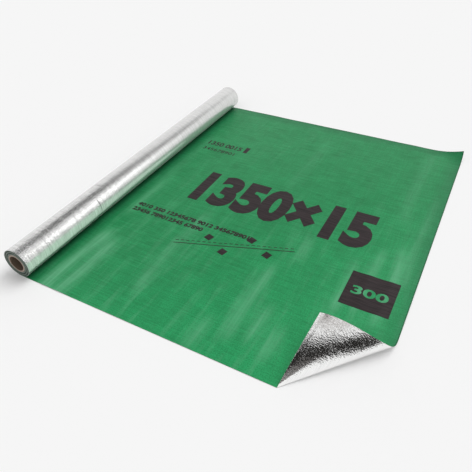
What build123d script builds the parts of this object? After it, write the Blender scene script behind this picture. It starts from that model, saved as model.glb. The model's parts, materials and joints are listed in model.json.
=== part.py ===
from build123d import *
import os
from math import atan2, cos, radians, sin, sqrt

# Roll of reflective roof membrane, partly rolled out. Millimetres, +Z up.
#
# A woven and foil-faced membrane is wound on a cardboard tube. Its free end comes off
# the bottom of the roll and lies flat on the floor, green face up and foil face down.
# One corner of that end is folded back over the sheet, so that its foil shows, and the
# other corner lifts a little. X runs along the sheet, away from the roll, and Y along
# the roll. The origin is on the floor, under the middle of the bounding box.

# Driving sizes of the membrane
roll_width = 1350.0          # width of the membrane, and so the length of the roll
roll_diameter = 99.3         # outside of the winding
laid_length = 1100.8         # sheet on the floor, from under the roll's axis to its end
sheet_thickness = 0.3        # woven fabric with its foil and its coating

# Driving sizes of the cardboard tube, which is cut to the width of the membrane
tube_bore = 53.9
tube_wall = 5.0

# The ends of the winding, where groups of turns stand a little apart
turn_gap_count = 4
turn_gap_width = 0.8
turn_gap_depth = 1.5

# The folded corner: where its crease meets the long edge and the end edge, both from
# the corner, and the two cones that the sheet follows from there to its tip
fold_on_side = 228.4
fold_on_end = 291.8
fold_apex_beyond = 10.0      # along the crease, from the long edge to the cones' point
fold_cone_angle = 5.4        # half angle of the tight cone at the crease
fold_turn = 112.4            # how far the sheet goes round the tight cone
flap_cone_angle = 24.2       # half angle of the wide cone of the flap behind it

# The lifted corner at the other side of the end, measured in the same way
lift_on_side = 135.0
lift_on_end = 120.0
lift_apex_beyond = 900.0
lift_cone_angle = 11.0
lift_turn = 24.0
lift_flap_angle = 90.0       # a cone of 90 degrees is a plane: this corner's tip is flat

# How finely the bends are lofted, and how wide the last section at a tip is
bend_steps = 12
tip_gather = 2               # sections of the flap lie closer together towards the tip
tip_width = 1.0

# Places that follow from the sizes
roll_radius = roll_diameter / 2
tube_outer_radius = tube_bore / 2 + tube_wall
roll_x = (roll_radius - laid_length) / 2
end_x = roll_x + laid_length
side_y = roll_width / 2
nip_x = roll_x + sqrt(2 * roll_radius * sheet_thickness - sheet_thickness**2)


class CornerBend:
    """A corner of the sheet that follows two cones, one after the other.

    Both cones have their point outside the long edge, on the line of the crease. The
    first stands on the floor along the crease. A straight line of the sheet through the
    point, at some flat angle from the crease, is carried round a cone's axis by that
    angle over the sine of the cone's half angle, so the sheet bends and never stretches.
    """

    def __init__(self, side, on_side, on_end, apex_beyond, cone_angle, turn, flap_angle):
        crease_angle = atan2(on_end, on_side)
        self.side = side
        self.corner = Vector(end_x, side * side_y)
        self.side_foot = Vector(end_x - on_side, side * side_y)
        self.end_foot = Vector(end_x, side * (side_y - on_end))
        self.crease = (self.end_foot - self.side_foot).normalized()
        self.apex = self.side_foot - self.crease * apex_beyond
        self.off_side = apex_beyond * sin(crease_angle)
        self.off_end = on_side + apex_beyond * cos(crease_angle)
        corner_angle = atan2(self.off_side, self.off_end)
        corner_reach = self.off_end / cos(corner_angle)
        tip_angle = corner_angle + tip_width * sin(corner_angle) * cos(corner_angle) / corner_reach
        turn_angle = crease_angle - radians(turn) * sin(radians(cone_angle))
        self.stages = ((cone_angle, crease_angle, turn_angle, 1), (flap_angle, turn_angle, tip_angle, tip_gather))

    def strips(self):
        """For each cone, the planes of its sections with where the sheet starts and ends."""
        line = self.crease
        out = Vector(0, 0, 1)
        for cone_angle, first_angle, last_angle, gather in self.stages:
            tilt = radians(cone_angle)
            cone_axis = Axis((0, 0, 0), line * cos(tilt) + out * sin(tilt))
            sections = []
            for step in range(bend_steps + 1):
                left = (1 - step / bend_steps) ** gather
                angle = last_angle + (first_angle - last_angle) * left
                turned = self.side * (first_angle - angle) / radians(1) / sin(tilt)
                section_line = line.rotate(cone_axis, turned)
                section_out = out.rotate(cone_axis, turned)
                plane = Plane(self.apex, x_dir=section_line, z_dir=section_line.cross(section_out))
                sections.append((plane, self.off_side / sin(angle), self.off_end / cos(angle)))
            yield sections
            line = section_line
            out = section_out


folded_corner = CornerBend(
    -1, fold_on_side, fold_on_end, fold_apex_beyond, fold_cone_angle, fold_turn, flap_cone_angle
)
lifted_corner = CornerBend(
    1, lift_on_side, lift_on_end, lift_apex_beyond, lift_cone_angle, lift_turn, lift_flap_angle
)

# The membrane: its winding and the sheet that comes off it are one continuous piece
with BuildPart() as membrane:
    with BuildSketch(Plane.XZ):
        with BuildLine():
            winding = ThreePointArc((roll_x, 0), (roll_x, 2 * roll_radius), (nip_x, sheet_thickness))
            Polyline(winding @ 1, (end_x, sheet_thickness), (end_x, 0), winding @ 0)
        make_face()
        with Locations((roll_x, roll_radius)):
            Circle(tube_outer_radius, mode=Mode.SUBTRACT)
    extrude(amount=side_y, both=True)

    # Rings between groups of turns, cut into both ends of the winding, the outer ones first
    turn_gap_pitch = (roll_radius - tube_outer_radius) / (turn_gap_count + 1)
    for end in (-1, 1):
        with BuildSketch(Plane.XZ.offset(-end * (side_y - turn_gap_depth))):
            with Locations((roll_x, roll_radius)):
                for index in range(turn_gap_count, 0, -1):
                    ring_radius = tube_outer_radius + index * turn_gap_pitch
                    Circle(ring_radius + turn_gap_width / 2)
                    Circle(ring_radius - turn_gap_width / 2, mode=Mode.SUBTRACT)
        extrude(amount=-end * turn_gap_depth, mode=Mode.SUBTRACT)

    # Each corner is taken off along its crease and put back along its cones
    for bend in (folded_corner, lifted_corner):
        with BuildSketch(Plane.XY):
            with BuildLine():
                Polyline(bend.side_foot, bend.end_foot, bend.corner, close=True)
            make_face()
        extrude(amount=sheet_thickness, mode=Mode.SUBTRACT)
        for strip in bend.strips():
            for section_plane, start, stop in strip:
                with BuildSketch(section_plane):
                    with Locations((start, 0)):
                        Rectangle(stop - start, sheet_thickness, align=(Align.MIN, Align.MIN))
            loft()
membrane.part.label = "membrane"

# The cardboard tube inside the winding
with BuildPart() as core_tube:
    with BuildSketch(Plane.XZ):
        with Locations((roll_x, roll_radius)):
            Circle(tube_outer_radius)
            Circle(tube_bore / 2, mode=Mode.SUBTRACT)
    extrude(amount=side_y, both=True)
core_tube.part.label = "core_tube"

os.makedirs("parts", exist_ok=True)
for piece in (membrane, core_tube):
    export_step(piece.part, f"parts/{piece.part.label}.step")
    print(piece.part.label, piece.part.is_valid, round(piece.part.volume), piece.part.bounding_box())
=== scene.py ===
# %% [markdown]
# # A roll of reflective roof membrane
#
# Roof membrane is a cloth woven from flat plastic tapes, with a green coating on one
# face and bright foil on the other. It is wound on a cardboard tube with the foil
# outwards, and here its free end is rolled out on the floor, green face up. One corner
# is folded back so that the foil shows, and the other corner lifts a little.
#
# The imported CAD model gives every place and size. It is loaded first and never changed:
# the pieces made below are laid over it, in metres and in the same frame.

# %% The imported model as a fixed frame
import json
from math import atan2, cos, pi, radians, sin

import bmesh
import bpy
import numpy as np
from mathutils import Matrix, Quaternion, Vector


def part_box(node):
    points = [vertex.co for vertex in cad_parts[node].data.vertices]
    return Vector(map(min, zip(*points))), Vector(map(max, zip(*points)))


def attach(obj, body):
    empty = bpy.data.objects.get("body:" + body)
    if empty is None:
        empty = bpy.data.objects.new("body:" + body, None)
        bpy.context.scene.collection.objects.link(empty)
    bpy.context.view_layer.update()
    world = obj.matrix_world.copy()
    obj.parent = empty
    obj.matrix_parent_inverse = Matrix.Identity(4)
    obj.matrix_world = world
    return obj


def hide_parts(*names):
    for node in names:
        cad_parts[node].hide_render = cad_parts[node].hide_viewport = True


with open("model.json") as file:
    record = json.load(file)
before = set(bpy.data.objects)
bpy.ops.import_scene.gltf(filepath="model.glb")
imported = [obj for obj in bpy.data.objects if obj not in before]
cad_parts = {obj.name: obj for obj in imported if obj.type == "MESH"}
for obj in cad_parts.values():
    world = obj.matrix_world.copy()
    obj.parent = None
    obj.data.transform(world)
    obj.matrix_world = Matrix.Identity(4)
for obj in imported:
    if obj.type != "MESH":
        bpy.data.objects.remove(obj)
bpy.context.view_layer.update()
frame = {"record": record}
_, membrane_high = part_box("membrane")
tube_low, tube_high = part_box("core_tube")
side_y = membrane_high.y
end_x = membrane_high.x
roll_x = (tube_low.x + tube_high.x) / 2
roll_radius = (tube_low.z + tube_high.z) / 2
tube_radius = (tube_high.z - tube_low.z) / 2
bore_radius = frame["record"]["mounts"][0]["dims"]["r_mm"] / 1000
sheet_thickness = 0.0003
sheet_length = end_x - roll_x
print(f"roll at x {roll_x:.4f}, radius {roll_radius:.4f}, tube {tube_radius:.4f}, sheet to {end_x:.4f}")

# %% [markdown]
# ## The camera
#
# The straight edges of the sheet and the rims of the tube fix the place from which the
# roll is seen. The focal length is written in pixels of the square picture, because it
# was found there, and turned into a lens for Blender's sensor. A camera could also be
# turned by hand until it looks right, but a fitted one keeps every edge in its place.

# %% Camera at the viewing angle
def new_object(name, data):
    """An object made from its data and put in the scene."""
    made = bpy.data.objects.new(name, data)
    bpy.context.scene.collection.objects.link(made)
    return made


picture_pixels = 472
focal_pixels = 493.5
camera_place = Vector((0.610871, -1.326734, 1.058023))
camera_azimuth = radians(-29.245)
camera_down = radians(39.407)
camera_roll = radians(-1.62)

forward_x = sin(camera_azimuth) * cos(camera_down)
forward_y = cos(camera_azimuth) * cos(camera_down)
forward = Vector((forward_x, forward_y, -sin(camera_down)))
level_right = forward.cross(Vector((0, 0, 1))).normalized()
level_up = level_right.cross(forward)
camera_right = level_right * cos(camera_roll) + level_up * sin(camera_roll)
camera_up = level_up * cos(camera_roll) - level_right * sin(camera_roll)
camera_turn = Matrix((camera_right, camera_up, -forward)).transposed()

camera_data = bpy.data.cameras.new("roll_camera")
camera_data.lens = focal_pixels / picture_pixels * camera_data.sensor_width
camera = new_object("roll_camera", camera_data)
camera.matrix_world = Matrix.Translation(camera_place) @ camera_turn.to_4x4()
bpy.context.scene.camera = camera
bpy.context.scene.view_settings.view_transform = "Standard"
print(f"lens {camera_data.lens:.1f} mm")

# %% [markdown]
# ## Nodes with fewer words
#
# Each finish is a tree of shader nodes. Making a node, setting its sockets and linking
# them takes a line each in plain bpy, so small helpers do it. One makes any node, where a
# value that is a socket becomes a link. The others make the kinds that come back in every
# finish, in the tree that their sockets are part of.

# %% Node helpers
def feed(node, inputs):
    """Fill sockets by name or number; a value that is a socket itself becomes a link."""
    for name, value in dict(inputs).items():
        if isinstance(value, bpy.types.NodeSocket):
            node.id_data.links.new(value, node.inputs[name])
        else:
            node.inputs[name].default_value = value


def add_node(tree, kind, inputs=(), **settings):
    """A new shader node: settings are its own fields, inputs its sockets."""
    node = tree.nodes.new("ShaderNode" + kind)
    for name, value in settings.items():
        setattr(node, name, value)
    feed(node, inputs)
    return node


def math_node(operation, *values):
    """The result of one sum on sockets and numbers."""
    tree = next(value.id_data for value in values if isinstance(value, bpy.types.NodeSocket))
    return add_node(tree, "Math", enumerate(values), operation=operation).outputs[0]


def times(first, second):
    return math_node("MULTIPLY", first, second)


def plus(first, second):
    return math_node("ADD", first, second)


def larger(first, second):
    return math_node("MAXIMUM", first, second)


def between(share, low, high):
    """A value from low to high, by a share from 0 to 1."""
    return math_node("MULTIPLY_ADD", share, high - low, low)


def spread(value, low, high, to_low=0.0, to_high=1.0, **settings):
    """A value's range from low to high, made into a share from 0 to 1 or another range."""
    sockets = {"Value": value, "From Min": low, "From Max": high, "To Min": to_low, "To Max": to_high}
    return add_node(value.id_data, "MapRange", sockets, **settings).outputs[0]


def colour_between(share, first, second):
    """A colour between two others, by a share from 0 to 1."""
    sockets = {0: share, 6: first, 7: second}
    return add_node(share.id_data, "Mix", sockets, data_type="RGBA", clamp_factor=True).outputs[2]


def parts(vector):
    """The x, y and z of a vector."""
    return add_node(vector.id_data, "SeparateXYZ", {0: vector}).outputs


def stretch(place, factors):
    """A place with its x, y and z each multiplied by their own factor."""
    return add_node(place.id_data, "VectorMath", {0: place, 1: factors}, operation="MULTIPLY").outputs[0]


def noise(place, scale, detail, roughness=0.5, distortion=0.0):
    """Cloudy noise round 0.5, with its finer layers by number and share."""
    sockets = {"Vector": place, "Scale": scale, "Detail": detail, "Roughness": roughness}
    return add_node(place.id_data, "TexNoise", {**sockets, "Distortion": distortion}).outputs["Fac"]


print("node helpers ready")

# %% [markdown]
# Effects that several finishes share are node groups. Each takes a place and a few
# numbers, and gives one result. In a finish, a group works with that finish's numbers.

# %% Group helpers
def spaced(values):
    """Values by socket name, with the spaces that a Python name can't have."""
    return {name.replace("_", " "): value for name, value in values.items()}


def start_group(name, result_name, **numbers):
    """A node group for places, with its sockets for numbers and one result."""
    group = bpy.data.node_groups.new(name, "ShaderNodeTree")
    group.interface.new_socket("Place", in_out="INPUT", socket_type="NodeSocketVector")
    for number_name, value in spaced(numbers).items():
        socket = group.interface.new_socket(number_name, in_out="INPUT", socket_type="NodeSocketFloat")
        socket.default_value = value
    group.interface.new_socket(result_name, in_out="OUTPUT", socket_type="NodeSocketFloat")
    return group, group.nodes.new("NodeGroupInput").outputs, group.nodes.new("NodeGroupOutput")


def pattern(group, place, **numbers):
    """The result of a group at a place, with these numbers."""
    sockets = {"Place": place, **spaced(numbers)}
    return add_node(place.id_data, "Group", sockets, node_tree=group).outputs[0]


print("group helpers ready")

# %% [markdown]
# ## The tape weave
#
# The cloth is woven from flat tapes about 2.5 mm wide, and both the coating and the foil
# follow it. Each crossing shows one tape on top, in turn the one along and the one
# across. A brick pattern would leave out the crown of the tapes, so the height is the
# sine across whichever tape is on top, chosen by whether the crossing is odd or even.

# %% Group: tape weave
tape_width = 0.0025
tape_weave, given, result = start_group("tape_weave", "Height", Tape_Width=tape_width)
tapes_per_metre = math_node("DIVIDE", 1.0, given["Tape Width"])
sockets = {0: given["Place"], "Scale": tapes_per_metre}
tape_counts = parts(add_node(tape_weave, "VectorMath", sockets, operation="SCALE").outputs[0])
crowns = [math_node("SINE", times(math_node("FRACT", tape_counts[axis]), pi)) for axis in range(2)]
crossing = plus(math_node("FLOOR", tape_counts[0]), math_node("FLOOR", tape_counts[1]))
odd = math_node("FLOORED_MODULO", crossing, 2.0)
on_top = add_node(tape_weave, "Mix", {0: odd, 2: crowns[0], 3: crowns[1]}, data_type="FLOAT")
feed(result, {"Height": on_top.outputs[0]})
print("tape weave ready")

# %% [markdown]
# ## Drawn lines
#
# The coating and the foil are laid on a moving cloth, which leaves long fine lines along
# the length of the membrane. Noise that is stretched along the length gives lines that
# start, fade and cross nowhere, where a wave pattern would repeat. Two sizes of line are
# added up: broad soft bands with sharp thin lines in them.

# %% Group: drawn lines
# For broad bands and thin lines: share of the lines, noise along them, waver and weight
line_kinds = ((0.22, 2.4, 0.2, 0.16), (1.0, 13.0, 0.7, 0.84))
drawn_lines, given, result = start_group("drawn_lines", "Lines", Lines_per_Metre=120.0, Contrast=1.0)
layers = []
for share_of_lines, along, waver, weight in line_kinds:
    across = times(given["Lines per Metre"], share_of_lines)
    scale = add_node(drawn_lines, "CombineXYZ", {"X": along, "Y": across, "Z": 1.0}).outputs[0]
    layers.append(times(noise(stretch(given["Place"], scale), 1.0, 2.5, 0.6, waver), weight))
centred = times(math_node("SUBTRACT", plus(*layers), 0.5), given["Contrast"])
feed(result, {"Lines": spread(centred, -0.2, 0.2, interpolation_type="SMOOTHSTEP")})
print("drawn lines ready")

# %% [markdown]
# ## Winding marks
#
# A sheet that has been wound keeps soft marks across it, parallel to the roll, where it
# was bent. They run over a hand's width and are a few centimetres apart. The same noise
# is stretched the other way for them, and the result is spread so that most of the sheet
# is clear of marks. On the green face the marks also set where painted highlights make it
# pale.

# %% Group: winding marks
usual = {"Marks_per_Metre": 16.0, "Clear_Share": 0.5}
winding_marks_and_highlights, given, result = start_group("winding_marks_and_highlights", "Marks", **usual)
sockets = {"X": given["Marks per Metre"], "Y": 4.2, "Z": 1.0}
scale = add_node(winding_marks_and_highlights, "CombineXYZ", sockets).outputs[0]
streaks = noise(stretch(given["Place"], scale), 1.0, 3.0, 0.6, 0.3)
feed(result, {"Marks": spread(streaks, given["Clear Share"], 0.8, interpolation_type="SMOOTHSTEP")})
print("winding marks ready")

# %% [markdown]
# ## Foil crinkle
#
# Thin foil that has been bent keeps small flat facets with sharp folds between them. The
# distance to the middle of Voronoi cells has that look: it rises evenly and turns sharply
# at a cell's edge. The cells are stretched across the sheet, the way that foil wrinkles
# when it is wound, and pushed about by noise, so that no fold is straight.

# %% Group: foil crinkle
push_metres = 0.03
cell_stretch = (1.0, 0.38, 1.0)
foil_crinkle, given, result = start_group("foil_crinkle", "Height", Folds_per_Metre=60.0)
sockets = {"Vector": given["Place"], "Scale": 26.0, "Detail": 2.0}
push = stretch(add_node(foil_crinkle, "TexNoise", sockets).outputs["Color"], (push_metres,) * 3)
pushed = add_node(foil_crinkle, "VectorMath", {0: given["Place"], 1: push}, operation="ADD").outputs[0]
sockets = {"Vector": stretch(pushed, cell_stretch), "Scale": given["Folds per Metre"]}
facets = add_node(foil_crinkle, "TexVoronoi", sockets, feature="F1")
feed(result, {"Height": facets.outputs["Distance"]})
print("foil crinkle ready")

# %% [markdown]
# ## Board fibres
#
# The tube is wound from brown paper board, which shows short fibres and cloudy patches.
# One fine and one coarse noise make up a mask for both its wall and its cut ends.

# %% Group: board fibres
board_fibres, given, result = start_group("board_fibres", "Fibres", Fibres_per_Metre=900.0)
fine = noise(given["Place"], given["Fibres per Metre"], 3.0, 0.7)
coarse = noise(given["Place"], 45.0, 2.0)
feed(result, {"Fibres": plus(times(fine, 0.6), times(coarse, 0.4))})
print("board fibres ready")

# %% [markdown]
# ## The green face
#
# The green face is a satin plastic coating. Drawn lines along and across it change its
# colour and its gloss a little, clouds and a fine grain make it uneven, and the weave
# shows through. A thin dark line runs along its far side and its end. Painted shade
# darkens a band inside those edges and the sheet by the roll, painted light brightens it
# towards the near corner, and painted highlights make it pale on its marks and ridges.
# Every pattern follows the flat sheet's own measurements, kept in a UV map in metres, so
# it bends with the sheet and runs on round the folded corner. An image would have to be
# drawn for it, and would blur close by.

# %% Green face
def start_material(name, **fixed):
    """A material and its Principled shader, with the shader's plain values."""
    material = bpy.data.materials.new(name)
    material.use_nodes = True
    shader = material.node_tree.nodes["Principled BSDF"]
    feed(shader, spaced(fixed))
    return material, shader


def flat_place(shader):
    """Where a point lies on the flat sheet: metres from the roll and along it."""
    return add_node(shader.id_data, "UVMap", uv_map="flat_place").outputs["UV"]


def bent_before(shader):
    """How sharply the membrane has been bent at a point, from 0 to 1, as the mask of painted
    highlights on the green face and of painted shade in the foil's creases.
    """
    return add_node(shader.id_data, "Attribute", attribute_name="bent_before").outputs["Fac"]


def weave_and_lines(place, lines_per_metre, contrast):
    weave = pattern(tape_weave, place, Tape_Width=tape_width)
    return weave, pattern(drawn_lines, place, Lines_per_Metre=lines_per_metre, Contrast=contrast)


def bumps(*layers):
    """Bumps one over the other, each a height from 0 to 1 and its metres."""
    under = {}
    for height, metres in layers:
        sockets = {"Height": height, "Distance": metres, "Strength": 1.0, **under}
        under = {"Normal": add_node(height.id_data, "Bump", sockets).outputs[0]}
    return under["Normal"]


green_dark = (0.005, 0.155, 0.046, 1)
green_light = (0.022, 0.35, 0.12, 1)
green_highlight = (0.16, 0.47, 0.27, 1)
# The darkest green is for a thin line along the far side and the end, and for painted shade along the
# edges and by the roll.
edge_line_and_shade_green = (0.008, 0.075, 0.032, 1)
dark_line_width = 0.0035
edge_shade_width = 0.06
sheen = {"Sheen_Weight": 0.25, "Sheen_Roughness": 0.2}
green_face, shader = start_material("green_coated_face", Specular_IOR_Level=0.25, **sheen)
place = flat_place(shader)
from_roll, along_roll, _ = parts(place)
near_side = spread(along_roll, 0.2, -0.45)

weave, lines = weave_and_lines(place, 250.0, 0.9)
turned_place = add_node(shader.id_data, "CombineXYZ", {"X": along_roll, "Y": from_roll}).outputs[0]
cross_lines = pattern(drawn_lines, turned_place, Lines_per_Metre=220.0, Contrast=0.9)
clouds = spread(noise(place, 13.0, 4.0, 0.65), 0.32, 0.68)
# Painted light: the coat is brighter towards the near corner.
light_to_near_corner = spread(math_node("SUBTRACT", from_roll, along_roll), 0.7, 1.4, 0.0, 0.38)
cloth_and_lines = plus(times(clouds, 0.24), plus(times(lines, 0.5), times(cross_lines, 0.26)))
cloth_and_light = plus(cloth_and_lines, light_to_near_corner)
coat_colour = colour_between(cloth_and_light, green_dark, green_light)
grain = spread(noise(place, 300.0, 1.0), 0.45, 0.75)
grained_colour = colour_between(times(grain, 0.7), coat_colour, green_dark)

# Painted highlights: the coat turns pale along wide marks, and along thin ones on the ridges, more so on
# the near side.
wide = pattern(winding_marks_and_highlights, place, Marks_per_Metre=30.0, Clear_Share=0.46)
thin = pattern(winding_marks_and_highlights, place, Marks_per_Metre=110.0, Clear_Share=0.36)
ridge_highlight = times(bent_before(shader), between(thin, 0.4, 0.78))
wide_highlight = times(wide, between(near_side, 0.06, 0.26))
painted_highlights = plus(wide_highlight, times(ridge_highlight, between(near_side, 0.35, 1.0)))
highlighted_colour = colour_between(painted_highlights, grained_colour, green_highlight)

# A thin dark line runs along the far side and the end. Painted shade darkens a wider band inside those
# edges, and the sheet by the roll.
at_side = math_node("GREATER_THAN", along_roll, side_y - dark_line_width)
at_end = math_node("GREATER_THAN", from_roll, sheet_length - dark_line_width)
shade_to_side = spread(along_roll, side_y - edge_shade_width, side_y)
shade_to_end = spread(from_roll, sheet_length - edge_shade_width, sheet_length)
edges = larger(times(larger(shade_to_side, shade_to_end), 0.4), times(larger(at_side, at_end), 0.75))
shade_by_roll = times(math_node("POWER", spread(from_roll, 0.11, 0.02), 2.0), 0.85)
green_colour = colour_between(larger(shade_by_roll, edges), highlighted_colour, edge_line_and_shade_green)
green_bumps = bumps((weave, 0.00006), (cloth_and_light, 0.00018), (wide, 0.0005))
feed(shader, {"Base Color": green_colour, "Roughness": between(lines, 0.5, 0.4), "Normal": green_bumps})
print("green face ready")

# %% [markdown]
# ## The foil face
#
# The foil is bright metal with the same weave and lines, and crinkles and specks of its
# own. A grey paint would look the same from all sides, where metal shows what is round
# it. On the roll the foil is hazier and less metallic towards the far end, and its colour
# is darker than the sheet's foil, as painted shade. Painted shade also darkens it along its
# two sharp creases.

# %% Foil faces
crease_shade_colour = (0.05, 0.05, 0.05, 1)


def foil_material(name, colours, metallic, haze, roughness, folds_per_metre, heights, crease_shade_share):
    """Foil, dull and bright by its lines, with its metal from the near side to the far one,
    and painted shade along its creases.

    The heights of its weave, specks and folds are in metres.
    """
    material, shader = start_material(name, Sheen_Weight=haze, Sheen_Roughness=0.5)
    place = flat_place(shader)
    weave, lines = weave_and_lines(place, 420.0, 0.8)
    specks = spread(noise(place, folds_per_metre * 1.4, 0.0), 0.5, 0.8)
    folds = pattern(foil_crinkle, place, Folds_per_Metre=folds_per_metre)
    weave_height, speck_height, fold_height = heights
    # Painted shade: the foil is darker where the crease mask is high.
    crease_shade = times(bent_before(shader), crease_shade_share)
    fine_layers = ((weave, weave_height), (lines, weave_height / 2), (specks, speck_height))
    sockets = {
        "Metallic": spread(parts(place)[1], -side_y, side_y, *metallic),
        "Base Color": colour_between(crease_shade, colour_between(lines, *colours), crease_shade_colour),
        "Roughness": between(lines, *roughness),
        "Normal": bumps(*fine_layers, (folds, fold_height)),
    }
    feed(shader, sockets)
    return material


sheet_foil = foil_material(
    "crinkled_foil_face",
    colours=((0.87, 0.87, 0.865, 1), (0.98, 0.98, 0.97, 1)),
    metallic=(1.0, 1.0),
    haze=0.0,
    roughness=(0.06, 0.04),
    folds_per_metre=290.0,
    heights=(0.00002, 0.00007, 0.00016),
    crease_shade_share=0.0,
)
# The roll's foil colours are darker than the sheet's foil: painted shade.
roll_foil = foil_material(
    "wound_foil_face",
    colours=((0.56, 0.56, 0.555, 1), (0.88, 0.88, 0.87, 1)),
    metallic=(0.84, 0.56),
    haze=0.3,
    roughness=(0.07, 0.045),
    folds_per_metre=200.0,
    heights=(0.00009, 0.0002, 0.00035),
    crease_shade_share=0.7,
)
print("foil faces ready")

# %% [markdown]
# ## Ink and cut edge
#
# The ink is thin, so the green face's lines and weave carry on through it, and it is a
# little glossier along the lines. The cut edge is as thin as the membrane, so lines in
# two greens are enough for it.

# %% Ink and cut edge
ink_dark = (0.012, 0.008, 0.009, 1)
ink_light = (0.034, 0.023, 0.025, 1)
print_ink, shader = start_material("print_ink", Specular_IOR_Level=0.25)
weave, lines = weave_and_lines(flat_place(shader), 190.0, 0.8)
ink_bumps = bumps((weave, 0.00006), (lines, 0.00015))
ink_colour = colour_between(lines, ink_dark, ink_light)
feed(shader, {"Base Color": ink_colour, "Roughness": between(lines, 0.55, 0.42), "Normal": ink_bumps})

edge_dark = (0.01, 0.09, 0.035, 1)
edge_light = (0.05, 0.2, 0.1, 1)
cut_edge, shader = start_material("cut_edge", Roughness=0.6)
lines = pattern(drawn_lines, flat_place(shader), Lines_per_Metre=300.0)
feed(shader, {"Base Color": colour_between(lines, edge_dark, edge_light)})
print("ink and cut edge ready")

# %% [markdown]
# ## The ends of the winding
#
# From the end, every turn shows as a thin line: dark where the coated cloth is cut, with
# a glint of foil. A ring pattern would make all the turns alike. Here the UV map counts
# turns, so that a noise along that count gives each turn its own shade. Groups of turns
# stand a little proud, and a slow wave over the count paints whole groups lighter and
# others darker, as painted light and shade.

# %% Turn edges
turn_dark = (0.012, 0.03, 0.02, 1)
turn_light = (0.33, 0.39, 0.34, 1)
rim_turns = 5.0
turns_per_shade = 23.6
total_turns = (roll_radius - tube_radius) / sheet_thickness
turn_edges, shader = start_material("turn_edges", Metallic=0.15, Roughness=0.5)
turn_place = flat_place(shader)
turn_number = parts(turn_place)[0]
# Painted light and shade: a slow wave lightens some groups of turns and darkens others.
wave = math_node("SINE", math_node("MULTIPLY_ADD", turn_number, 2 * pi / turns_per_shade, -1.0))
single_turns = noise(stretch(turn_place, (1.0, 2.5, 1.0)), 1.1, 1.0)
turn_tone_and_light = spread(times(single_turns, between(wave, 0.55, 0.95)), 0.14, 0.5)
at_rim = times(math_node("GREATER_THAN", turn_number, total_turns - rim_turns), 0.9)
feed(shader, {"Base Color": colour_between(larger(turn_tone_and_light, at_rim), turn_dark, turn_light)})
print("turn edges ready")

# %% [markdown]
# ## The board of the tube
#
# The tube is brown board, whose spiral seam shows as a thin line inside the bore. The
# seam is where the share round the tube and the share of a spiral's length add up to a
# whole number. Cut across, at the ends, the board is paler and has no seam.

# %% Board
seam_width = 0.02


def board_material(name, dark, light, seam_depth):
    """Brown paper board, with the seam of its spiral winding where it has any depth."""
    material, shader = start_material(name, Roughness=0.85)
    position = add_node(shader.id_data, "TexCoord").outputs["Object"]
    fibres = pattern(board_fibres, position, Fibres_per_Metre=900.0)
    around, along, _ = parts(flat_place(shader))
    seam = math_node("LESS_THAN", math_node("FRACT", plus(around, along)), seam_width)
    board_colour = colour_between(times(seam, 0.7), colour_between(fibres, dark, light), dark)
    board_bumps = bumps((fibres, 0.0002), (times(seam, -1.0), seam_depth))
    feed(shader, {"Base Color": board_colour, "Normal": board_bumps})
    return material


tube_wall_board = board_material("tube_wall_board", (0.07, 0.045, 0.03, 1), (0.2, 0.14, 0.095, 1), 0.0003)
tube_end_board = board_material("tube_end_board", (0.22, 0.165, 0.13, 1), (0.5, 0.4, 0.335, 1), 0.0)
print("board ready")

# %% [markdown]
# ## From arrays to pieces
#
# The pieces are grids of thousands of points, so their points are worked out as arrays
# and handed to Blender in one go. One helper makes the mesh, writes the UV map, welds
# points that lie on each other, such as the seam of a tube, and marks sharp edges. It also
# hides the CAD node that the piece stands for. Smaller helpers put points in tables and
# find the faces between them.

# %% Mesh helper
weld_distance = 0.000002
needle_length = 0.000001
sharp_angle = radians(45)


def make_piece(name, points, faces, face_finishes, materials, flat_points, stands_for, bent=None):
    """A piece that rides on the part, from arrays of points and four-sided faces."""
    mesh = bpy.data.meshes.new(name)
    mesh.from_pydata([tuple(point) for point in points.tolist()], [], faces.tolist())
    mesh.polygons.foreach_set("material_index", np.asarray(face_finishes, dtype=np.int32))
    corner_points = np.empty(len(mesh.loops), dtype=np.int32)
    mesh.loops.foreach_get("vertex_index", corner_points)
    layer = mesh.uv_layers.new(name="flat_place")
    layer.uv.foreach_set("vector", flat_points[corner_points].astype(np.float32).ravel())
    if bent is not None:
        attribute = mesh.attributes.new("bent_before", "FLOAT", "POINT")
        attribute.data.foreach_set("value", bent.astype(np.float32))
    for material in materials:
        mesh.materials.append(material)
    weld = bmesh.new()
    weld.from_mesh(mesh)
    bmesh.ops.remove_doubles(weld, verts=weld.verts, dist=weld_distance)
    bmesh.ops.dissolve_degenerate(weld, edges=weld.edges, dist=needle_length)
    weld.to_mesh(mesh)
    weld.free()
    mesh.shade_smooth()
    mesh.set_sharp_from_angle(angle=sharp_angle)
    piece = new_object(name, mesh)
    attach(piece, "root")
    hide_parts(*stands_for)
    print(f"{name}: {len(mesh.polygons)} faces")
    return piece


def grid_faces(index):
    """The four-sided faces between the rows and columns of a grid of point numbers."""
    corners = (index[:-1, :-1], index[:-1, 1:], index[1:, 1:], index[1:, :-1])
    return np.stack([corner.ravel() for corner in corners], axis=1)


def columns(*arrays):
    """Arrays of one shape as the columns of a table."""
    return np.stack([array.ravel() for array in arrays], axis=1)


def round_roll(radius, y, angle):
    """Points round the roll's axis."""
    return columns(roll_x + radius * np.cos(angle), y, roll_radius + radius * np.sin(angle))


def soft_step(values, low, high):
    """0 below low, 1 above high, and smooth between them."""
    share = np.clip((values - low) / (high - low), 0, 1)
    return share * share * (3 - 2 * share)


print("mesh helpers ready")

# %% [markdown]
# ## How the sheet lies
#
# A membrane that was wound never lies quite flat. Low ridges run parallel to the roll,
# most of them near the roll and near the folded corner, and the whole sheet swells a
# little. A cloth simulation would find its own ridges, but not where these are, so they
# are written as a short list of smooth bumps. The ridges fade out where the sheet comes
# off the roll and along both creases, where it has to lie on the floor.

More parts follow.
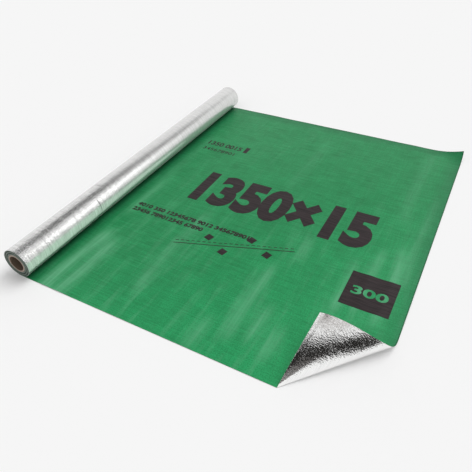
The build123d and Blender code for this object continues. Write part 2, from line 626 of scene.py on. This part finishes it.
# %% Creases and ridges of the sheet
fold = {"side": -1, "on_side": 0.2284, "on_end": 0.2918, "beyond": 0.010}
lift = {"side": 1, "on_side": 0.135, "on_end": 0.120, "beyond": 0.900}

# For each ridge: distance from the roll's axis, half width, height, first y and last y
ridges = (
    (0.102, 0.022, 0.0014, -0.78, -0.33),
    (0.150, 0.021, 0.0012, -0.78, -0.36),
    (0.090, 0.022, 0.0009, -0.30, 0.40),
    (0.610, 0.020, 0.0007, -0.72, -0.52),
    (0.685, 0.018, 0.0010, -0.64, -0.24),
    (0.745, 0.016, 0.0009, -0.62, -0.40),
    (0.800, 0.016, 0.0009, -0.66, -0.46),
    (0.740, 0.018, 0.0008, -0.26, -0.06),
    (0.905, 0.018, 0.0008, -0.42, -0.10),
    (0.968, 0.016, 0.0013, -0.38, -0.02),
    (1.025, 0.015, 0.0012, -0.42, 0.02),
    (1.062, 0.014, 0.0009, -0.24, 0.34),
    (0.985, 0.020, 0.0010, 0.08, 0.66),
    (0.560, 0.024, 0.0006, 0.10, 0.60),
    (0.360, 0.024, 0.0006, -0.60, -0.10),
)
ridge_fade = 0.09
ridge_wander = 0.006
leaves_roll = (0.008, 0.07)
flat_by_crease = 0.05
swell_height = 0.0005
swell_lengths = ((0.41, 0.9), (0.23, 0.52), (0.17, -0.31))


def off_crease(corner, x, y):
    """Distance from a corner's crease, towards the middle of the sheet."""
    crease_angle = atan2(corner["on_end"], corner["on_side"])
    from_foot_x = x - (end_x - corner["on_side"])
    from_foot_y = y - corner["side"] * side_y
    return -sin(crease_angle) * from_foot_x - corner["side"] * cos(crease_angle) * from_foot_y


def ridge_rise(from_roll, y):
    """Height that the ridges alone give the sheet."""
    rise = np.zeros_like(from_roll)
    for distance, half_width, height, y_start, y_stop in ridges:
        wander = ridge_wander * np.sin(y * 9 + distance * 40)
        across = np.exp(-(((from_roll - distance - wander) / half_width) ** 2))
        begun = soft_step(y, y_start, y_start + ridge_fade)
        rise += height * across * begun * (1 - soft_step(y, y_stop - ridge_fade, y_stop))
    return rise


def sheet_rise(x, y):
    """Height of the sheet's foil side over the floor at a place on the floor."""
    from_roll = x - roll_x
    rise = ridge_rise(from_roll, y)
    for length_x, length_y in swell_lengths:
        rise += swell_height / 3 * (1 + np.sin(2 * pi * (from_roll / length_x + y / length_y)))
    free = soft_step(from_roll, *leaves_roll)
    for corner in (fold, lift):
        free = free * soft_step(off_crease(corner, x, y), 0, flat_by_crease)
    return rise * free


print(f"{len(ridges)} ridges")

# %% [markdown]
# ## The folded corner
#
# A sheet that doesn't stretch can only bend along straight lines. In a corner that is
# turned back, those lines fan out from one point outside the long edge: the sheet is part
# of a cone there. Close to the crease it follows a tight cone, and behind it the flap
# follows a much wider one. Each line is found on the flat sheet by its angle at that
# point, and carried round the cone's axis by that angle over the sine of the cone's half
# angle. The other corner lifts by the same rule, on a wide cone and then a tight one.

# %% Straight lines of the bent corners
fold_cones = ((5.4, 112.4), (24.2, None))
lift_cones = ((14.0, 7.0), (6.0, None))
tip_width = 0.001


def bent_corner(corner, cones, steps):
    """Lines of a bent corner: flat angle, start and stop on it, its direction and its out side."""
    side = corner["side"]
    crease_angle = atan2(corner["on_end"], corner["on_side"])
    line = Vector((cos(crease_angle), -side * sin(crease_angle), 0))
    out = Vector((0, 0, 1))
    apex = Vector((end_x - corner["on_side"], side * side_y, 0)) - line * corner["beyond"]
    off_side = corner["beyond"] * sin(crease_angle)
    off_end = corner["on_side"] + corner["beyond"] * cos(crease_angle)
    corner_angle = atan2(off_side, off_end)
    tip_angle = corner_angle + tip_width * sin(corner_angle) * cos(corner_angle) ** 2 / off_end
    found = []
    angle = crease_angle
    for (cone_degrees, turn_degrees), count in zip(cones, steps):
        cone_angle = radians(cone_degrees)
        last = crease_angle - radians(turn_degrees) * sin(cone_angle) if turn_degrees else tip_angle
        axis = line * cos(cone_angle) + out * sin(cone_angle)
        for step in range(1, count + 1):
            here = angle + (last - angle) * step / count
            turn = Quaternion(axis, side * (angle - here) / sin(cone_angle))
            found.append((here, off_side / sin(here), off_end / cos(here), turn @ line, turn @ out))
        angle = last
        line, out = found[-1][3], found[-1][4]
    return apex, found


def bent_points(corner, cones, steps, shares):
    """Tables of points, out sides and flat places, going along the lines by these shares."""
    apex, found = bent_corner(corner, cones, steps)
    angles, start, stop = np.array([entry[:3] for entry in found]).T
    lines = np.array([tuple(entry[3]) for entry in found])
    outs = np.array([tuple(entry[4]) for entry in found])
    reach = start + (stop - start) * shares[:, None]
    points = np.array(tuple(apex)) + lines * reach[..., None]
    flat_x = apex.x + np.cos(angles) * reach - roll_x
    flat_y = apex.y - corner["side"] * np.sin(angles) * reach
    return points.reshape(-1, 3), np.tile(outs, (len(shares), 1)), columns(flat_x, flat_y)


print("corner lines ready")

# %% [markdown]
# ## The laid-out sheet
#
# The sheet is one grid. Its rows run from the roll to the end edge or to a crease, and
# the rows that meet a crease carry on along the bent corner. Every grid point is made
# twice, once on the foil side and once on the green side, and the outline is closed
# between them, so the sheet is a thin closed body with its real thickness.

# %% Laid-out sheet
fold_rows = 54
middle_rows = 150
lift_rows = 20
flat_columns = 156
fold_steps = (36, 44)
lift_steps = (6, 14)

fold_row_y = np.linspace(-side_y, -side_y + fold["on_end"], fold_rows + 1)
middle_row_y = np.linspace(-side_y + fold["on_end"], side_y - lift["on_end"], middle_rows + 1)
lift_row_y = np.linspace(side_y - lift["on_end"], side_y, lift_rows + 1)
row_y = np.concatenate([fold_row_y, middle_row_y[1:], lift_row_y[1:]])
row_end = np.interp(
    row_y,
    [-side_y, -side_y + fold["on_end"], side_y - lift["on_end"], side_y],
    [end_x - fold["on_side"], end_x, end_x, end_x - lift["on_side"]],
)
column_share = np.linspace(0, 1, flat_columns + 1)
flat_x = roll_x + (row_end[:, None] - roll_x) * column_share
flat_y = np.broadcast_to(row_y[:, None], flat_x.shape)
sheet_points = columns(flat_x, flat_y, sheet_rise(flat_x, flat_y))
sheet_outs = np.tile((0.0, 0.0, 1.0), (len(sheet_points), 1))
sheet_flat = columns(flat_x - roll_x, flat_y)
sheet_index = np.arange(flat_x.size).reshape(flat_x.shape)
sheet_cells = [grid_faces(sheet_index)]

for corner, cones, steps, rows, shares in (
    (fold, fold_cones, fold_steps, slice(0, fold_rows + 1), np.linspace(0, 1, fold_rows + 1)),
    (lift, lift_cones, lift_steps, slice(-lift_rows - 1, None), np.linspace(1, 0, lift_rows + 1)),
):
    points, outs, flat = bent_points(corner, cones, steps, shares)
    index = np.arange(len(points)).reshape(len(shares), -1) + len(sheet_points)
    sheet_cells.append(grid_faces(np.hstack([sheet_index[rows, -1:], index])))
    sheet_points = np.vstack([sheet_points, points])
    sheet_outs = np.vstack([sheet_outs, outs])
    sheet_flat = np.vstack([sheet_flat, flat])

cells = np.vstack(sheet_cells)
count = len(sheet_points)
rims = np.vstack([cells[:, [0, 1]], cells[:, [1, 2]], cells[:, [2, 3]], cells[:, [3, 0]]])
one_way = rims[:, 0] * count + rims[:, 1]
other_way = rims[:, 1] * count + rims[:, 0]
outline = rims[~np.isin(one_way, other_way)]
outline_faces = np.hstack([outline, outline[:, ::-1] + count])
# The share of a ridge's height is the mask for painted highlights on the green face.
full_mark_rise = 0.0013
bent_before = np.clip(ridge_rise(sheet_flat[:, 0], sheet_flat[:, 1]) / full_mark_rise, 0, 1)
laid_sheet = make_piece(
    "laid_sheet",
    np.vstack([sheet_points, sheet_points + sheet_outs * sheet_thickness]),
    np.vstack([cells + count, cells[:, ::-1], outline_faces]),
    [0] * len(cells) + [1] * len(cells) + [2] * len(outline_faces),
    [green_face, sheet_foil, cut_edge],
    np.vstack([sheet_flat, sheet_flat]),
    ["membrane"],
    np.concatenate([bent_before, bent_before]),
)

# %% [markdown]
# ## The winding
#
# The outside of the roll is the same membrane, foil outwards. It is wound tightly but not
# perfectly round: it dips a little here and there, and two sharp creases run part of the
# way round it. Its ends are the real spiral: every turn is a narrow raised step, with a
# groove before the next one, and the turns stand in and out by fractions of a millimetre,
# as they do when a winding wanders. Four deeper grooves part the groups of turns. Plain
# rings would be simpler, but on a real roll each turn runs on into the next.

# %% Shape of the winding
around_steps = 128
along_steps = 232
turn_pitch = sheet_thickness
turn_total = round((roll_radius - tube_radius) / turn_pitch)
groove_count = 4
groove_half_width = 0.0004
groove_depth = 0.0015
turn_gap_depth = 0.0002
wander_depth = 0.0007
rim_inset = 0.0004
step_start, step_stop = 0.15, 0.85
slow_count = 12
quick_share = 0.35
chance = np.random.default_rng(7)
quick_insets = chance.random(turn_total + 3) * wander_depth
slow_turns = np.linspace(0, turn_total + 2, slow_count)
slow_insets = np.interp(np.arange(turn_total + 3), slow_turns, chance.random(slow_count) * wander_depth)
turn_insets = quick_share * quick_insets + (1 - quick_share) * slow_insets


def groove_inset(radius):
    """How much deeper the end lies where a groove parts two groups of turns."""
    pitch = (roll_radius - tube_radius) / (groove_count + 1)
    nearest = np.clip(np.round((radius - tube_radius) / pitch), 1, groove_count)
    off = np.abs(radius - tube_radius - nearest * pitch)
    return groove_depth * (1 - soft_step(off, groove_half_width * 0.6, groove_half_width * 1.6))


def spiral_points(end, station, share, extra_inset):
    """Points on one end of the winding, by station round the spiral and share of a turn."""
    turns = station / around_steps - 1 + share
    radius = np.clip(tube_radius + turn_pitch * turns, tube_radius, roll_radius)
    wander = np.interp(turns, np.arange(-1, turn_total + 2), turn_insets)
    inset = wander + groove_inset(radius) + extra_inset
    inset = np.where(radius > roll_radius - turn_pitch * 0.5, rim_inset, inset)
    angle = -pi / 2 - 2 * pi * station / around_steps
    return round_roll(radius, end * (side_y - inset), angle), columns(turns, station / around_steps % 1)


def winding_end(end, first):
    """Points, faces and turn counts of one end; the points are numbered from first."""
    stations = (turn_total + 1) * around_steps + 1
    spirals = (
        (stations + around_steps, 0.0, turn_gap_depth),
        (stations, step_start, 0.0),
        (stations, step_stop, 0.0),
    )
    points, flat, numbers = [], [], []
    for count, share, extra_inset in spirals:
        spiral, spiral_flat = spiral_points(end, np.arange(count), share, extra_inset)
        points.append(spiral)
        flat.append(spiral_flat)
        numbers.append(np.arange(count) + first)
        first += count
    border, inner, outer = numbers
    faces = grid_faces(np.stack([border[:stations], inner, outer, border[around_steps:]], axis=1))
    if end > 0:
        faces = faces[:, ::-1]
    return np.vstack(points), faces, np.vstack(flat)


print(f"{turn_total} turns")

# %% [markdown]
# The outside is a grid of rings. Both its ends meet the outermost turn of the spiral, so
# the whole winding is one skin. The inner wall is hidden by the tube, and a plain ring of
# faces closes it.

# %% Winding of the membrane
crease_depth = 0.0011
crease_half_width = 0.0016
crease_step = 0.001
crease_fade = 15.0
end_fade_reach = (0.001, 0.06)
dip_depth = 0.0004

# For each crease: its y and where it starts and stops, in degrees above the horizontal
creases = ((-0.335, -70.0, 50.0), (-0.279, 55.0, 120.0))
# For each wave of dips: waves round the roll, length along it and phase
dip_waves = ((2, 0.83, 0.4), (3, 0.47, 2.1), (5, 0.29, 4.0), (4, 0.19, 1.2))

angles_round = np.linspace(0, 2 * pi, around_steps + 1)
rim_y = side_y - rim_inset
crease_rings = [y + step * crease_step for y, _, _ in creases for step in range(-4, 5)]
ring_y = np.sort(np.concatenate([np.linspace(-rim_y, rim_y, along_steps + 1), crease_rings]))
round_grid, y_grid = np.meshgrid(angles_round, ring_y)
end_fade = soft_step(side_y - np.abs(y_grid), *end_fade_reach)
dips = np.zeros_like(y_grid)
for waves_round, length, phase in dip_waves:
    wave = np.sin(waves_round * round_grid + 2 * pi * y_grid / length + phase)
    dips += (1 + wave) / 2 / len(dip_waves)
degrees_up = 270 - np.degrees(round_grid)
crease = np.zeros_like(y_grid)
for crease_y, low_degrees, high_degrees in creases:
    present = soft_step(degrees_up, low_degrees, low_degrees + crease_fade)
    present *= 1 - soft_step(degrees_up, high_degrees - crease_fade, high_degrees)
    crease += present * np.exp(-(((y_grid - crease_y) / crease_half_width) ** 2))
skin_radius = roll_radius - end_fade * (dip_depth * dips + crease_depth * crease)
skin_points = round_roll(skin_radius, y_grid, -pi / 2 - round_grid)
skin_flat = columns(-roll_radius * round_grid, y_grid)
skin_faces = grid_faces(np.arange(len(skin_points)).reshape(y_grid.shape))

winding_points, winding_faces, winding_flat = [skin_points], [skin_faces], [skin_flat]
inner_rings = []
for end in (-1, 1):
    first = sum(len(points) for points in winding_points)
    points, faces, flat = winding_end(end, first)
    winding_points.append(points)
    winding_faces.append(faces)
    winding_flat.append(flat)
    inner_rings.append(np.arange(first, first + around_steps + 1))
winding_faces.append(grid_faces(np.stack(inner_rings, axis=0)))
unbent = np.zeros(sum(len(points) for points in winding_points[1:]))
wound_membrane = make_piece(
    "wound_membrane",
    np.vstack(winding_points),
    np.vstack(winding_faces),
    np.repeat([0, 1, 1, 2], [len(faces) for faces in winding_faces]),
    [roll_foil, turn_edges, green_face],
    np.vstack(winding_flat),
    ["membrane"],
    np.concatenate([crease.ravel(), unbent]),
)

# %% [markdown]
# ## The cardboard tube
#
# The tube is wound from strips of paper board, one over the other, and sawn off. Its cut
# end shows the plies as fine rings, and the edges of the bore are slightly worn. A plain
# ring would do at a distance. Here a short outline with its plies is turned round the
# axis, which also gives the worn edges their soft line.

# %% Cardboard tube
ply_count = 8
ply_step = 0.00012
worn_edge = 0.0005
tube_around_steps = 96
tube_along_steps = 56
spiral_turn_length = 0.19


def tube_outline():
    """Radius and y round the tube's section: the bore, one end, the outside and the other end."""
    ply = (tube_radius - bore_radius) / ply_count
    end_radii = [bore_radius + worn_edge * 0.3]
    end_insets = [worn_edge * 0.3]
    for index in range(ply_count):
        inset = ply_step * (index * 5 % 3)
        end_radii += [bore_radius + ply * (index + 0.25), bore_radius + ply * (index + 0.8)]
        end_insets += [inset, inset]
    end_radii.append(tube_radius)
    end_insets.append(worn_edge * 0.6)
    bore_y = np.linspace(-side_y + worn_edge, side_y - worn_edge, tube_along_steps + 1)
    radii = [bore_radius] * len(bore_y) + end_radii + end_radii[::-1]
    ends = [side_y - inset for inset in end_insets] + [inset - side_y for inset in end_insets[::-1]]
    y = [*bore_y, *ends, bore_y[0]]
    return np.array(radii + [bore_radius]), np.array(y), len(bore_y) - 1, len(end_radii)


outline_radius, outline_y, bore_faces, end_points = tube_outline()
tube_angles = np.linspace(0, 2 * pi, tube_around_steps + 1)
outline_grid, tube_round = np.meshgrid(np.arange(len(outline_radius)), tube_angles)
tube_y = outline_y[outline_grid]
tube_points = round_roll(outline_radius[outline_grid], tube_y, tube_round)
tube_flat = columns(tube_round / (2 * pi), tube_y / spiral_turn_length)
on_bore = np.arange(len(outline_radius) - 1) < bore_faces
on_outside = np.arange(len(outline_radius) - 1) == bore_faces + end_points
tube_finish = np.where(on_bore | on_outside, 0, 1)
make_piece(
    "paper_tube",
    tube_points,
    grid_faces(np.arange(len(tube_points)).reshape(outline_grid.shape)),
    np.tile(tube_finish, tube_around_steps),
    [tube_wall_board, tube_end_board],
    tube_flat,
    ["core_tube"],
)

# %% [markdown]
# ## The print
#
# Such membrane is printed along its length with dark ink. Here the print is plain: the
# width and the length of the roll in large figures, a dark square with figures left bare
# in it, two rows of small figures and a row of dashes and squares. A printed image would
# be an image texture, so the print is made of flat outlines: Blender's own figures are
# filled in the flat and fitted into the place that they take on the sheet.

# %% Flat outlines of the print
# The corners of a square, in order, as factors of its half sides
square = ((-1, -1), (1, -1), (1, 1), (-1, 1))


def figures(text, low, high, heavier, block=None):
    """Figures that fill a place on the sheet, low and high corner, as points and faces.

    With a block, low and high corner of a rectangle, the figures are left bare in it.
    """
    curve = bpy.data.curves.new("figures", "FONT")
    curve.body = text
    curve.offset = heavier
    curve.resolution_u = 4
    shape = new_object("figures", curve)
    depsgraph = bpy.context.evaluated_depsgraph_get()
    mesh = bpy.data.meshes.new_from_object(shape.evaluated_get(depsgraph))
    flat = bmesh.new()
    flat.from_mesh(mesh)
    bpy.data.objects.remove(shape)
    bpy.data.meshes.remove(mesh)
    bmesh.ops.remove_doubles(flat, verts=flat.verts, dist=0.0001)
    for axis in range(2):
        least = min(spot.co[axis] for spot in flat.verts)
        most = max(spot.co[axis] for spot in flat.verts)
        for spot in flat.verts:
            share = (spot.co[axis] - least) / (most - least)
            spot.co[axis] = low[axis] + (high[axis] - low[axis]) * share
    if block:
        inner_edges = [edge for edge in flat.edges if len(edge.link_faces) != 1]
        bmesh.ops.delete(flat, geom=flat.faces[:], context="FACES_ONLY")
        bmesh.ops.delete(flat, geom=inner_edges, context="EDGES")
        (left, bottom), (right, top) = block
        spots = ((left, bottom), (right, bottom), (right, top), (left, top))
        corners = [flat.verts.new((*spot, 0)) for spot in spots]
        for first, second in zip(corners, corners[1:] + corners[:1]):
            flat.edges.new((first, second))
        bmesh.ops.triangle_fill(flat, use_beauty=True, edges=flat.edges[:], normal=(0, 0, 1))
    flat.verts.index_update()
    points = [(spot.co.x, spot.co.y) for spot in flat.verts]
    faces = [tuple(spot.index for spot in face.verts) for face in flat.faces]
    flat.free()
    return points, faces


def bar(centre, length, width, angle):
    """A printed bar or square, as points and one face."""
    along = Vector((cos(angle), sin(angle))) * length / 2
    across = Vector((-sin(angle), cos(angle))) * width / 2
    corners = [Vector(centre) + along * one + across * other for one, other in square]
    return [tuple(corner) for corner in corners], [(0, 1, 2, 3)]


print("print outlines ready")

# %% [markdown]
# Ink lies on every ridge of the sheet. The flat outlines are cut along a close grid, and
# each point is set a hair above the green face at its place, so the print bends with the
# sheet wherever that rises.

# %% Lay the print on the sheet
print_lift = 0.00016
print_cell = 0.008


def lay_print(name, shapes):
    """One printed piece from flat shapes, in metres from the roll's axis and along the roll."""
    ink = bmesh.new()
    for points, faces in shapes:
        spots = [ink.verts.new((roll_x + x, y, 0)) for x, y in points]
        for face in faces:
            ink.faces.new([spots[corner] for corner in face])
    for axis in range(2):
        low = min(spot.co[axis] for spot in ink.verts)
        high = max(spot.co[axis] for spot in ink.verts)
        direction = Vector((axis == 0, axis == 1, 0))
        for step in range(1, int((high - low) / print_cell)):
            everything = ink.verts[:] + ink.edges[:] + ink.faces[:]
            cut = {"plane_co": direction * (low + step * print_cell), "plane_no": direction}
            bmesh.ops.bisect_plane(ink, geom=everything, dist=0.000001, **cut)
    bmesh.ops.remove_doubles(ink, verts=ink.verts, dist=0.00001)
    bmesh.ops.triangulate(ink, faces=[face for face in ink.faces if len(face.verts) > 4])
    places = np.array([tuple(spot.co) for spot in ink.verts])
    heights = sheet_rise(places[:, 0], places[:, 1]) + sheet_thickness + print_lift
    for spot, height in zip(ink.verts, heights):
        spot.co.z = height
    layer = ink.loops.layers.uv.new("flat_place")
    for face in ink.faces:
        if face.normal.z < 0:
            face.normal_flip()
        face.smooth = True
        for corner in face.loops:
            corner[layer].uv = (corner.vert.co.x - roll_x, corner.vert.co.y)
    mesh = bpy.data.meshes.new(name)
    ink.to_mesh(mesh)
    ink.free()
    mesh.materials.append(print_ink)
    piece = new_object(name, mesh)
    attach(piece, "root")
    print(f"{name}: {len(mesh.polygons)} faces")
    return piece


large_figures = lay_print("large_figures", [figures("1350×15", (0.235, -0.088), (0.918, 0.115), 0.055)])
dark_square = lay_print(
    "dark_square",
    [figures("300", (0.930, -0.283), (1.040, -0.247), 0.03, ((0.911, -0.336), (1.058, -0.188)))],
)
small_figures = lay_print(
    "small_figures",
    [
        figures("4010 350 12345678 9012 345678901", (0.095, -0.206), (0.553, -0.184), 0.05),
        figures("23456 789012345 67890", (0.095, -0.238), (0.390, -0.216), 0.05),
    ],
)
end_figures = lay_print(
    "end_figures",
    [
        figures("1350 0015", (0.095, 0.303), (0.255, 0.335), 0.03),
        bar((0.277, 0.322), 0.018, 0.045, 0.0),
        figures("345678901", (0.095, 0.258), (0.245, 0.280), 0.01),
    ],
)

row_start = Vector((0.335, -0.322))
row_stop = Vector((0.715, -0.186))
row_way = row_stop - row_start
row_angle = atan2(row_way.y, row_way.x)
row_across = Vector((-sin(row_angle), cos(row_angle)))
dash_count = 22
dash_length = row_way.length / dash_count * 0.6
dash_width = 0.003
line_width = 0.0032
square_size = 0.026
square_angle = -0.3
row_shapes = [bar((row_start + row_stop) / 2 - row_across * 0.004, row_way.length, line_width, row_angle)]
for index in range(dash_count):
    centre = row_start + row_way * ((index + 0.5) / dash_count) + row_across * 0.010
    row_shapes.append(bar(centre, dash_length, dash_width, row_angle))
for share, off_row in ((0.28, 0.036), (0.42, -0.032), (0.64, 0.036), (0.78, -0.032)):
    centre = row_start + row_way * share + row_across * off_row
    row_shapes.append(bar(centre, square_size, square_size, square_angle))
dash_row = lay_print("dash_row", row_shapes)

# %% [markdown]
# ## What the sheet is
#
# The laid-out sheet is cloth, so its cut size is stated: the width of the roll by the
# length that lies on the floor.

print(f"sheet {2 * side_y:.3f} by {end_x - roll_x:.4f} m")

# %% [markdown]
# ## Floor and light
#
# The roll lies on a plain pale floor, in a soft light that comes from behind it and from
# above. A wide sun lamp gives even light over the whole floor, where a near lamp would
# fade across it, and the white world fills the shadows. The world is shown brighter than
# it shines, so that the backdrop stays white. Foil shows the lamps themselves, so the sun
# is hidden from reflections and a white panel stands in for it there.

# %% Floor
floor_half = 7.0
floor_drop = 0.0004
floor_white = (0.93, 0.93, 0.93, 1)
floor_corners = [(x * floor_half, y * floor_half, -floor_drop) for x, y in square]
floor_mesh = bpy.data.meshes.new("pale_floor")
floor_mesh.from_pydata(floor_corners, [], [(0, 1, 2, 3)])
matt = {"Roughness": 0.9, "Specular_IOR_Level": 0.0}
floor_paint, _ = start_material("pale_floor_paint", Base_Color=floor_white, **matt)
floor_mesh.materials.append(floor_paint)
floor = new_object("pale_floor", floor_mesh)
print(f"floor {2 * floor_half} m wide")

# %% Lamps and world
key_direction = Vector((-0.24, -0.52, -0.88))
panel_place = Vector((0.95, 0.75, 1.05))
panel_target = Vector((roll_x, -0.3, roll_radius))
white = (1, 1, 1, 1)
world_fill = 0.66
world_shown = 0.925


def new_lamp(name, kind, direction, **settings):
    """A lamp that shines in a direction, with its own settings."""
    data = bpy.data.lights.new(name, kind)
    for setting, value in settings.items():
        setattr(data, setting, value)
    lamp = new_object(name, data)
    lamp.rotation_mode = "QUATERNION"
    lamp.rotation_quaternion = direction.to_track_quat("-Z", "Y")
    return lamp


sun = new_lamp("soft_key", "SUN", key_direction, energy=1.24, angle=radians(46))
sun.visible_glossy = False
panel_sizes = {"shape": "RECTANGLE", "size": 1.1, "size_y": 0.7}
panel = new_lamp("white_panel", "AREA", panel_target - panel_place, energy=3.4, **panel_sizes)
panel.location = panel_place
panel.visible_camera = False
panel.visible_diffuse = False

world = bpy.data.worlds.new("white_studio")
world.use_nodes = True
bpy.context.scene.world = world
tree = world.node_tree
tree.nodes.clear()
ray = add_node(tree, "LightPath").outputs
seen = larger(ray["Is Camera Ray"], larger(ray["Is Glossy Ray"], ray["Is Transmission Ray"]))
fill = add_node(tree, "Background", {"Color": white, "Strength": world_fill}).outputs[0]
shown = add_node(tree, "Background", {"Color": white, "Strength": world_shown}).outputs[0]
either = add_node(tree, "MixShader", {0: seen, 1: fill, 2: shown}).outputs[0]
add_node(tree, "OutputWorld", {"Surface": either})
print("lamps and world ready")

# %% [markdown]
# In a white room bright foil would be plain white. Cards that glow and that only
# reflections see paint its tones, as painted reflections: a dark one over the roll, a pale
# one at its foot, in the green that foil takes on over the sheet, which paints the sheet's
# reflection there, and a dark and two grey ones round the folded corner. Their places are
# found from the foil itself, by following the sight line to it and on, as a mirror sends
# it. Lamps would light them unevenly, so they shine evenly by themselves.

# %% Shape of the cards
card_steps = 12


def mirrored_card(name, rows, foil_at, distance, colour):
    """A card that foil mirrors to the camera: rows of a position, first and last degrees."""
    points = []
    for position, first_degrees, last_degrees in rows:
        for degrees in np.linspace(first_degrees, last_degrees, card_steps + 1):
            place, out = foil_at(position, degrees)
            sight = (place - camera_place).normalized()
            points.append(tuple(place + sight.reflect(out) * distance))
    index = np.arange(len(points)).reshape(len(rows), card_steps + 1)
    mesh = bpy.data.meshes.new(name)
    mesh.from_pydata(points, [], grid_faces(index).tolist())
    glow = {"Base_Color": (0, 0, 0, 1), "Emission_Color": (*colour, 1), "Emission_Strength": 1.0}
    paint, _ = start_material(name + "_paint", Roughness=1.0, Specular_IOR_Level=0.0, **glow)
    mesh.materials.append(paint)
    card = new_object(name, mesh)
    card.visible_camera = False
    card.visible_diffuse = False
    card.visible_shadow = False


def roll_place(y, degrees):
    """A place on the roll's outside and its out side, by y and degrees above the horizontal."""
    out = Vector((cos(radians(degrees)), 0, sin(radians(degrees))))
    return Vector((roll_x, y, roll_radius)) + out * roll_radius, out


def corner_place(share, degrees):
    """A place on the folded corner and its foil side, by share along the line at a flat angle."""
    angle, start, stop, line, out = min(corner_lines, key=lambda entry: abs(entry[0] - radians(degrees)))
    return apex + line * (start + (stop - start) * share), out


apex, corner_lines = bent_corner(fold, fold_cones, (80, 120))
print(f"{len(corner_lines)} lines of the folded corner")

# %% [markdown]
# Each row of a card is a position, along the roll or along a straight line of the flap,
# and the degrees at which the card starts and stops there: up round the roll, or on the
# flat corner. They follow the edges of the foil's light and dark patches.

# %% Cards seen in the foil
roll_streak = (
    (-0.74, 85, 58), (-0.60, 84, 59), (-0.45, 80, 61), (-0.30, 82, 59), (-0.15, 77, 55),
    (0.00, 69, 52), (0.15, 64, 48), (0.30, 60, 46), (0.46, 54, 48),
)
corner_band = (
    (-0.15, 10, 2), (0.10, 11, 2), (0.22, 16, 2.5), (0.30, 22, 3), (0.40, 27, 5), (0.48, 30.5, 7),
    (0.57, 33.5, 9), (0.67, 36.5, 15.5), (0.76, 39, 21.5), (0.86, 40.7, 27.5), (1.10, 42.2, 33.5),
)
roll_foot = ((-0.74, 17, -18), (-0.40, 16, -16), (-0.15, 12, -9), (0.20, 5, 1))
corner_shade = ((-0.15, 26, 10), (0.10, 26, 11), (0.22, 26.5, 16), (0.30, 28, 22), (0.40, 30.5, 27))
tip_band = ((0.74, 6, 2.5), (0.83, 12, 2.5), (0.91, 21, 4), (1.05, 27, 10))
# Painted reflections: each card glows with its own colour in the foil.
mirrored_card("roll_card", roll_streak, roll_place, 2.0, (0.004, 0.0038, 0.0037))
mirrored_card("sheet_reflection_card", roll_foot, roll_place, 0.025, (0.52, 0.78, 0.60))
mirrored_card("corner_card", corner_band, corner_place, 0.5, (0.025, 0.024, 0.023))
mirrored_card("shade_card", corner_shade, corner_place, 0.52, (0.2, 0.19, 0.186))
mirrored_card("tip_card", tip_band, corner_place, 0.32, (0.5, 0.48, 0.47))
print("cards ready")

# %% [markdown]
# ## The end
#
# The dressed part keeps the size of the CAD model.

# %% The end
print("all pieces made")
